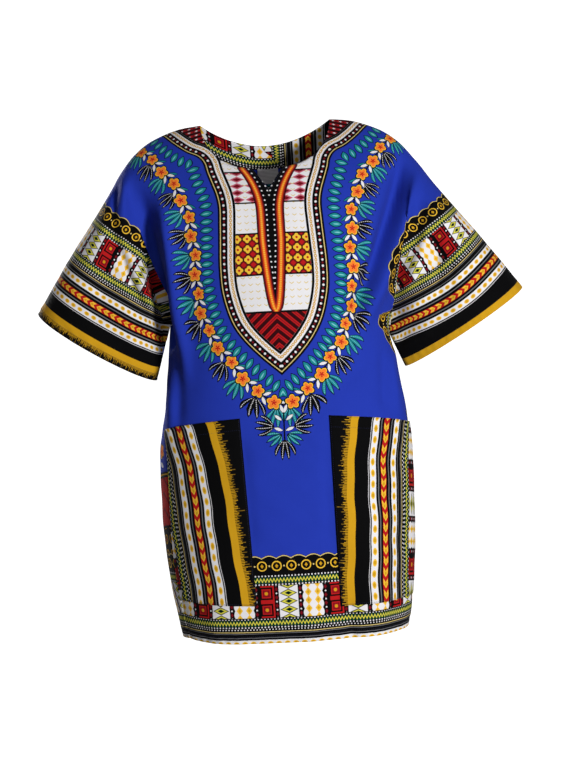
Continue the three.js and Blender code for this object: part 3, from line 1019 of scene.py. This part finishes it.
def length(x, y):
    return calculate("SQRT", calculate("MULTIPLY_ADD", x, x, y * y))


def band(x, start, end):
    """The distance outside a band of x; distances are negative inside a shape."""
    return abs(x - (start + end) / 2) - (end - start) / 2


def disc(x, y, radius):
    return length(x, y) - radius


def oval(x, y, half_x, half_y):
    return (length(x / half_x, y / half_y) - 1) * min(half_x, half_y)


def lozenge(x, y, half_x, half_y):
    return (abs(x) / half_x + abs(y) / half_y - 1) * (0.7 * min(half_x, half_y))


def leaf(x, y, half_length, half_width):
    """A pointed leaf along x."""
    return calculate("MULTIPLY_ADD", x * x, half_width / half_length**2, abs(y)) - half_width


def turned(x, y, degrees):
    cos, sin = math.cos(math.radians(degrees)), math.sin(math.radians(degrees))
    return x * cos + y * sin, y * cos - x * sin


def flower(x, y, radius, petals):
    angle = calculate("ARCTAN2", y, x)
    lobes = abs(calculate("COSINE", angle * (petals / 2)))
    return length(x, y) - (lobes * (0.3 * radius) + 0.7 * radius)


def chart_numbers(name):
    node = new_node("Attribute", {}, attribute_name=name)
    split = new_node("SeparateXYZ", {0: node.outputs["Vector"]})
    return [Number(split.outputs[k]) for k in range(3)]


def noise(x, y, detail=2.0):
    """Smooth unevenness about 0.5, with features as large as one unit of x and y."""
    place = new_node("CombineXYZ", {0: x, 1: y})
    node = new_node("TexNoise", {"Scale": 1.0, "Detail": detail, "Vector": place.outputs[0]})
    return Number(node.outputs["Fac"])


def linear(colour):
    """An sRGB colour as the shader's own numbers."""
    shares = [c / 255 for c in colour]
    return tuple(c / 12.92 if c <= 0.04045 else ((c + 0.055) / 1.055) ** 2.4 for c in shares) + (1.0,)


def new_material(name, settings):
    """A material whose shader has these settings."""
    material = bpy.data.materials.new(name)
    material.use_nodes = True
    plug(material.node_tree.nodes["Principled BSDF"], settings)
    return material


class Paint:
    """The print so far. Each new shape covers what lies under it."""

    EDGE = 0.5  # over how many millimetres a printed edge softens

    def __init__(self, colour):
        self.colour = linear(colour)

    def __call__(self, colour, *distances):
        """Paints where every distance is below zero."""
        mask = calculate("MULTIPLY_ADD", high(*distances), -1 / self.EDGE, 0.5)
        mask.value.node.use_clamp = True
        self.blend(mask, linear(colour))

    def nest(self, shape, *layers):
        """Paints a shape in layers, each (colour, inset)."""
        for colour, inset in layers:
            self(colour, shape + inset if inset else shape)

    def leaves(self, x, y, *layers):
        """Paints a leaf in layers, each (colour, half length, half width)."""
        for colour, half_length, half_width in layers:
            self(colour, leaf(x, y, half_length, half_width))

    def blend(self, share, colour, kind="MIX"):
        colours = {0: share, 6: self.colour, 7: colour}
        self.colour = new_node("Mix", colours, data_type="RGBA", blend_type=kind).outputs[2]


# ---- The border print, by the depth d into it and the distance x along it ----
def dashes(paint, x, d, start):
    """A white band with gold ovals."""
    x, d = repeat(x, 13.4), d - (start + 5.5)
    paint(WHITE, abs(d) - 5.5)
    paint(YELLOW, oval(x, d, 4.6, 3.4))
    paint(GOLD, oval(x, d, 2.6, 2.2))


def zigzag_band(paint, x, d, middle):
    """A close yellow zigzag on green between two rows of white dots."""
    paint(GREEN, abs(d - middle) - 4.8)
    paint(GRASS, abs(d - middle - zigzag(x, 5.2) * 2.6) - 1.5)
    paint(WHITE, disc(repeat(x, 5.2), abs(d - middle) - 6.7, 1.2))


def box_band(paint, x, d, start):
    """Panels between dotted bars, in turn: stepped red squares, a column of lozenges and gold chains."""
    x, y = repeat(x, 109), d - (start + 26)
    cell = repeat(y, 13)
    in_band = abs(y) - 26

    squares = high(in_band, band(x, -54.5, -29.5))
    square_x, square_y = x + 42, repeat(y, 26, 13)
    ring = high(abs(square_x), abs(square_y))
    paint(RED, squares)
    paint(BLACK, squares, abs(ring - 8.5) - 1.3)
    paint(WINE, squares, abs(ring - 4.2) - 0.9)
    paint(GOLD, in_band, disc(square_x, square_y, 2.6))

    column = high(in_band, band(x, -22.5, 7.5))
    paint(WHITE, column)
    for half_x, half_y, colour in ((14, 6.5, BLACK), (11.4, 5, GRASS), (6, 3, GREEN), (3.2, 1.6, BLACK)):
        paint(colour, column, lozenge(x + 7.5, cell, half_x, half_y))

    chains = high(in_band, band(x, 14.5, 47.5) + 2.2 - abs(wave(y, 26)) * 2.2)
    link = repeat(x, 15, 23.5)
    paint(WHITE, chains)
    paint(YELLOW, chains, lozenge(link, cell, 5.2, 7))
    paint(GOLD, chains, lozenge(link, cell, 2.2, 3))

    bars = low(band(x, -29.5, -22.5), band(x, 7.5, 14.5), abs(abs(x) - 54.5) - 3.5, band(x, 47.5, 55))
    centre = low(abs(x + 26), abs(x - 11), abs(x - 51))
    paint(BLACK, in_band, bars)
    paint(WHITE, in_band, disc(centre, cell, 1.3))
    paint(WINE, in_band, lozenge(centre, repeat(y, 13, 6.5), 2.6, 3.6))
    paint(BLACK, abs(abs(y) - 26) - 0.8)


def border(paint, x, d):
    """The whole border print, from the gold band with its fringe at the cuff to the scalloped edge."""
    edge = d - (BORDER_DEPTH - 4) - abs(wave(x, 46)) * 4
    paint(BLACK, edge)
    paint(PALE_GOLD, abs(edge + 1.4) - 0.7)
    for pitch, most, colour in ((2.9, 44, DARK_GOLD), (1.9, 26, GOLD)):
        reach = noise(calculate("FLOOR", x / pitch) * 7.31, pitch) * most - most * 0.3
        paint(colour, d, 0 - d - reach, abs(repeat(x, pitch, pitch / 2)) - 0.45)
    for middle, half, colour in BORDER_BANDS:
        paint(colour, abs(d - middle) - half)
    arm = abs(d - 63)
    chevron = repeat(x + arm * 1.1, 13.4)
    paint(YELLOW, arm - 4.2, abs(chevron) - 3.6)
    paint(GOLD, arm - 1.8, abs(chevron + 0.4) - 2.0)
    dashes(paint, x, d, 38)
    dashes(paint, x, d, 78)
    paint(WHITE, disc(repeat(x, 5), d - 106, 1.0))
    zigzag_band(paint, x, d, 116.3)
    box_band(paint, x, d, 124)
    zigzag_band(paint, x, d, 183.7)
    link, row = repeat(x, 23), d - 206
    paint(YELLOW, abs(length(link, row) - 7) - 0.9)
    paint(GOLD, lozenge(link, row, 2.6, 3.4))
    paint(PALE_GOLD, disc(repeat(x, 23, 11.5), row, 1.3))


# ---- The neck panel ----
def neck_bands(paint, along, depth):
    """The bands along the neck panel's outline, by their depth inside it."""
    for start, colour in ((0, BLACK), (15.5, WHITE), (24.5, BLACK)):
        paint(colour, start - depth)
    paint(PALE_GOLD, abs(depth - 4) - 0.7)
    paint(WHITE, disc(repeat(along, 10.5), depth - 10, 1.9))
    paint(WINE, lozenge(repeat(along, 10.5, 5.25), depth - 10, 2.4, 1.8))
    bead = repeat(along, 7)
    paint(GOLD, oval(bead, depth - 20.5, 3.4, 2.2))
    paint(WHITE, oval(bead, depth - 20.5, 1.4, 0.8))


def neck_field(paint, inside, u, v):
    """The white field within the bands, and its figures from the shoulders down to the tip."""
    side = abs(u)
    paint(WHITE, inside)
    tick = abs(repeat(side, 11.5, 38))
    paint(PALE_GOLD, inside, abs(repeat(v, 11) - tick * 0.7 + 1) - 0.8, tick - 3.4)

    shoulder = high(inside, -56 - v + side * 0.1)
    slant = repeat(v + side * 0.5, 11)
    paint(BLACK, shoulder)
    paint(WINE, shoulder + 3, abs(slant) - 3.6)
    paint(RED, shoulder + 3, abs(slant) - 1.8, abs(repeat(side, 6)) - 1.6)
    paint(WHITE, shoulder + 3, lozenge(slant, repeat(side, 12, 4), 1.7, 2.6))

    diamonds = high(inside, band(v, *DIAMONDS))
    x, y = repeat(side, 24, 50), repeat(v, 12.5)
    paint(ROSE, diamonds, lozenge(x, y, 11.5, 6))
    paint(WINE, diamonds, lozenge(x, y, 7, 3.4))

    lattice = high(inside, band(v, *LATTICE))
    x, y = repeat(side, 15.5, 39), repeat(v, 16.5, -191)
    paint(WINE, lattice)
    paint(BLACK, lattice, flower(x, y, 8.0, 4))
    paint(YELLOW, lattice, flower(x, y, 6.6, 4))
    paint(RED, lattice, disc(x, y, 1.9))
    paint(RED, lattice, lozenge(repeat(side, 15.5, 46.75), repeat(v, 16.5, -199.25), 4.4, 4.4))
    for level in DIAMONDS + LATTICE:
        paint(BLACK, inside, abs(v - level) - 1.3)

    tip = high(inside, v - TIP_TOP)
    arrow = repeat(v + side * 0.9, 15, -330)
    paint(DEEP_WINE, tip)
    paint(RED, tip, abs(arrow) - 3.6)
    paint(WINE, tip, abs(arrow) - 0.8)
    paint(BLACK, inside, abs(v - TIP_TOP) - 1.6)


def placket_print(paint, piping, v):
    """The placket's core and its piping, by the distance outside the piping's middle."""
    above_tip = TIP_TOP - v
    paint(BLACK, piping - 7.8, above_tip)
    paint(WINE, piping - 6.2, above_tip)
    paint(ORANGE_RED, abs(piping) - 3.8, above_tip)
    paint(ORANGE, abs(piping) - 1.8, above_tip)
    paint(YELLOW, abs(piping) - 1.5, abs(repeat(v, 3.4)) - 0.8, above_tip)
    core = high(piping + 5.8, above_tip)
    paint(BLACK, core)
    paint(WHITE, core, disc(repeat(piping, 9, -9), repeat(v, 8.5), 1.3))


# ---- Leaves and flowers ----
def leaf_ring(paint, along, aside):
    x, y = turned(aside, repeat(along, 13.6), -8)
    paint.leaves(x, y, (BLACK, 12.0, 5.6), (TEAL, 10.2, 4.3))
    paint.leaves(x - 1, y, (PALE_TEAL, 6.0, 1.0))


def spray(paint, x, y, size, colour):
    """Four leaves that curve out from a point and on along x, with dotted veins."""
    vein = PALE_TEAL if colour is TEAL else WHITE
    for spread, reach in ((0.46, 0.8), (0.15, 1)):
        full = size * reach
        bend = x * (2 * full - x) * (spread * size / full**2)
        a, b = x - full / 2, abs(y) - bend
        shape = leaf(a, b, full / 2, 0.118 * size)
        paint(BLACK, shape)
        if colour is TEAL:
            paint(TEAL, shape + 1.1)
        paint(vein, shape + 1.4, abs(b) - 0.45, abs(repeat(a, 2.8)) - 0.9)


def blossom(paint, x, y, radius):
    paint.nest(flower(x, y, radius, 5), (BLACK, 0), (YELLOW, 1.8), (ORANGE, 3.4), (RED, 0.66 * radius))


def garland(paint, along, aside):
    """A stem with blossoms and small white leaves, and sprays outside it, teal and black by turns."""
    for shift, colour in ((8, TEAL), (44, BLACK)):
        x, y = turned(aside - 7, repeat(along, 72, shift), -20)
        spray(paint, x, y, 34, colour)
    place = repeat(along, 31)
    x, y = turned(aside + 11, place, 42)
    paint.leaves(x, y, (BLACK, 9, 2.6), (TEAL, 8, 1.6))
    paint(BLACK, abs(aside + wave(along, 62) * 2) - 1.2)
    for lean, offset in ((48, -6), (-48, 6)):
        x, y = turned(aside - offset, place, lean)
        paint.nest(leaf(x, y, 8.5, 3.4), (BLACK, 0), (WHITE, 1))
    blossom(paint, repeat(along, 62, 15.5), aside - 2, 13.5)
    blossom(paint, repeat(along, 62, 46.5), aside + 2, 12.5)


def palmette(paint, u, v):
    """Sprays in pairs and a last one hanging below the garland's tip."""
    side = abs(u)
    paint(BLACK, side - 1.2, band(v, -520, -466))
    for start, level, lean, size, colour in ((15, -488, 8, 32, BLACK), (4, -500, -34, 28, TEAL)):
        x, y = turned(side - start, v - level, lean)
        spray(paint, x, y, size, colour)
    spray(paint, -508 - v, u, 33, BLACK)
    for level, lean in ((-474, 38), (-492, 20)):
        x, y = turned(side - 9, v - level, lean)
        paint.leaves(x, y, (BLACK, 8, 3.2), (WHITE, 7, 2.3))


def hip_print(paint, v, edge):
    """A blossom over a red panel and rows of rings, beside each side seam of the back."""
    v = v - HIP_TOP
    blossom(paint, edge - 26, v - 34, 14)
    x, y = turned(edge - 26, v - 12, 30)
    paint.leaves(x, y, (WHITE, 9, 3.4))
    plate = high(edge - 60, v)
    paint(BLACK, plate)
    paint(GOLD, plate, abs(v + 4) - 1)
    paint(GOLD, plate, abs(edge - 57) - 1)
    red = high(edge - 52, band(v, -86, -9))
    paint(RED, red)
    paint(WINE, red, abs(repeat(v + abs(edge - 24) * 0.9, 26, -HIP_TOP)) - 2.4)
    rings = high(edge - 52, v + 90)
    radius = length(repeat(edge, 24, 26), repeat(v, 24, -108))
    paint(GOLD, rings, abs(radius - 7) - 1)
    paint(RED, rings, radius - 2)


# ---- The whole prints and their cloth ----
def body_print(face):
    """The front's or the back's whole print."""
    paint = Paint(BLUE)
    along, aside, _ = chart_numbers("garland")
    garland(paint, along, aside)
    along, aside, _ = chart_numbers("ring")
    leaf_ring(paint, along, aside)
    u, v, edge = chart_numbers("flat")
    if face is FRONT:
        palmette(paint, u, v)
        on_right = calculate("LESS_THAN", u, 0)
        spray(paint, v - SIDE_SPRAY, edge - 28 + on_right * FAR, 34, BLACK)
    else:
        hip_print(paint, v, edge)
    along, aside, piping = chart_numbers("panel")
    depth = 0 - aside
    neck_bands(paint, along, depth)
    if face is FRONT:
        neck_field(paint, 28.5 - depth, u, v)
        placket_print(paint, piping, v)
    else:
        paint(RED, abs(depth - 31 - zigzag(along, 12) * 2.6) - 1.1)
    x, d, _ = chart_numbers("border")
    border(paint, x, d)
    return paint


def border_print():
    """The border print on its own. Past a corner's mitre it turns to run up the cloth."""
    paint = Paint(BLACK)
    _, v, _ = chart_numbers("flat")
    x, d, corner = chart_numbers("border")
    past = calculate("LESS_THAN", corner, d)
    border(paint, x + past * (v - x), low(d, corner))
    return paint


def tape_print():
    paint = Paint(TAPE)
    _, v, _ = chart_numbers("flat")
    paint(TAPE_LINE, abs(repeat(v, 2.4)) - 0.35)
    return paint


def cloth_material(name, make_print, roughness=0.8):
    """Printed plain-weave cotton."""
    material = new_material(name, COTTON)
    Number.tree = material.node_tree
    paint = make_print()
    u, v, _ = chart_numbers("flat")
    slubs = noise(u / SLUB_WIDTH, v / SLUB_LENGTH) * 0.5
    slubs = slubs + noise(u / SLUB_LENGTH + 7, v / SLUB_WIDTH) * 0.5
    worn = noise(u / WORN_PATCH, v / WORN_PATCH + 3, 3.0)
    paint.blend(slubs * 0.4 + worn * 0.3, WORN_TINT, "MULTIPLY")
    weave = wave(u, WEAVE) * wave(v, WEAVE) * 0.25 + slubs + noise(u / 9, v / 9) * 2
    uneven = new_node("Bump", {"Distance": WEAVE_BUMP, "Strength": 0.5, "Height": weave})
    rough = slubs * 0.2 + (roughness - 0.1)
    shader = material.node_tree.nodes["Principled BSDF"]
    plug(shader, {"Base Color": paint.colour, "Roughness": rough, "Normal": uneven.outputs[0]})
    return material


# ---- The scene ----
def build():
    prints = {
        "front": cloth_material("front print", lambda: body_print(FRONT)),
        "back": cloth_material("back print", lambda: body_print(BACK)),
        "border": cloth_material("border print", border_print),
        "tape": cloth_material("label tape", tape_print, roughness=0.6),
    }
    thread = new_material("thread", {"Base Color": linear(THREAD), "Roughness": 0.7})

    def sew(cloth, material, flat, area, thickness=CLOTH):
        obj = cloth.shell(thickness, prints[material])
        threads = [stitches(cloth, thread)] if cloth.stitched else []
        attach(obj, "root")
        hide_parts(cloth.name)
        return obj

    front = sew(panel(FRONT), "front", (1.062, 0.86), 0.53)
    back = sew(panel(BACK), "back", (1.062, 0.86), 0.54)
    for row in POCKETS:
        sew(pocket(row), "border", row["flat"], row["area"])
    strip = sew(facing(), "border", (0.32, 0.044), 0.0107)
    sew(label(), "tape", (0.034, 0.026), 0.00088, LABEL_CLOTH)


def light(name, place, size, power):
    """A square area light aimed at the dress."""
    lamp = bpy.data.lights.new(name, "AREA")
    lamp.size = size
    lamp.energy = power
    obj = new_object(name, lamp)
    obj.location = place
    direction = Vector(LIGHTS_AIM) - Vector(place)
    obj.rotation_euler = direction.to_track_quat("-Z", "Y").to_euler()


def bowl_profile():
    """Radius and height from the middle of the floor, round the bend, up the wall and over the top."""
    profile = [(0.01, FLOOR_Z), (BOWL_RADIUS - BOWL_BEND, FLOOR_Z)]
    for turn in np.linspace(0, math.pi / 2, BOWL_BEND_STEPS + 1)[1:]:
        radius = BOWL_RADIUS - BOWL_BEND * (1 - math.sin(turn))
        profile.append((radius, FLOOR_Z + BOWL_BEND * (1 - math.cos(turn))))
    return profile + [(BOWL_RADIUS, BOWL_TOP), (0.01, BOWL_TOP)]


def paper_bowl():
    """A glowing white floor that bends up into a wall all round, wide enough to look at the dress from any
    side. It gives the cloth no light of its own."""
    profile = bowl_profile()
    around = [2 * math.pi * k / BOWL_SIDES for k in range(BOWL_SIDES)]
    points = [(r * math.cos(a), r * math.sin(a), z) for r, z in profile for a in around]
    faces = []
    for start in range(0, (len(profile) - 1) * BOWL_SIDES, BOWL_SIDES):
        for k in range(BOWL_SIDES):
            near, far = start + k, start + (k + 1) % BOWL_SIDES
            faces.append((far, near, near + BOWL_SIDES, far + BOWL_SIDES))
    paper = {"Base Color": (0.9, 0.9, 0.9, 1), "Roughness": 0.9}
    glow = {"Emission Color": (1, 1, 1, 1), "Emission Strength": 1.0}
    bowl = new_mesh("paper bowl", points, faces, new_material("white paper", paper | glow))
    bowl.data.shade_smooth()
    bowl.visible_diffuse = False
    bowl.visible_glossy = False
    bowl.visible_shadow = False
    bowl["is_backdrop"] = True


def studio():
    """The white paper bowl, the lights in front of and behind the dress, and the camera."""
    scene = bpy.context.scene
    scene.view_settings.view_transform = "Standard"
    paper_bowl()
    world = bpy.data.worlds.new("studio")
    world.use_nodes = True
    plug(world.node_tree.nodes["Background"], {"Color": (1, 1, 1, 1), "Strength": WORLD_LIGHT})
    scene.world = world
    for row in LIGHTS:
        light(**row)

    lens = bpy.data.cameras.new("camera")
    lens.lens = CAMERA_LENS
    lens.sensor_width = CAMERA_SENSOR
    camera = new_object("camera", lens)
    roll = Matrix.Rotation(math.radians(CAMERA_ROLL), 4, "Y")
    upright = Matrix.Rotation(math.pi / 2, 4, "X")
    camera.matrix_world = Matrix.Translation(CAMERA_PLACE) @ roll @ upright
    scene.camera = camera


studio()
build()
shown_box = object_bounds()
[[list(corner) for corner in box] for box in (cad_box, shown_box)]
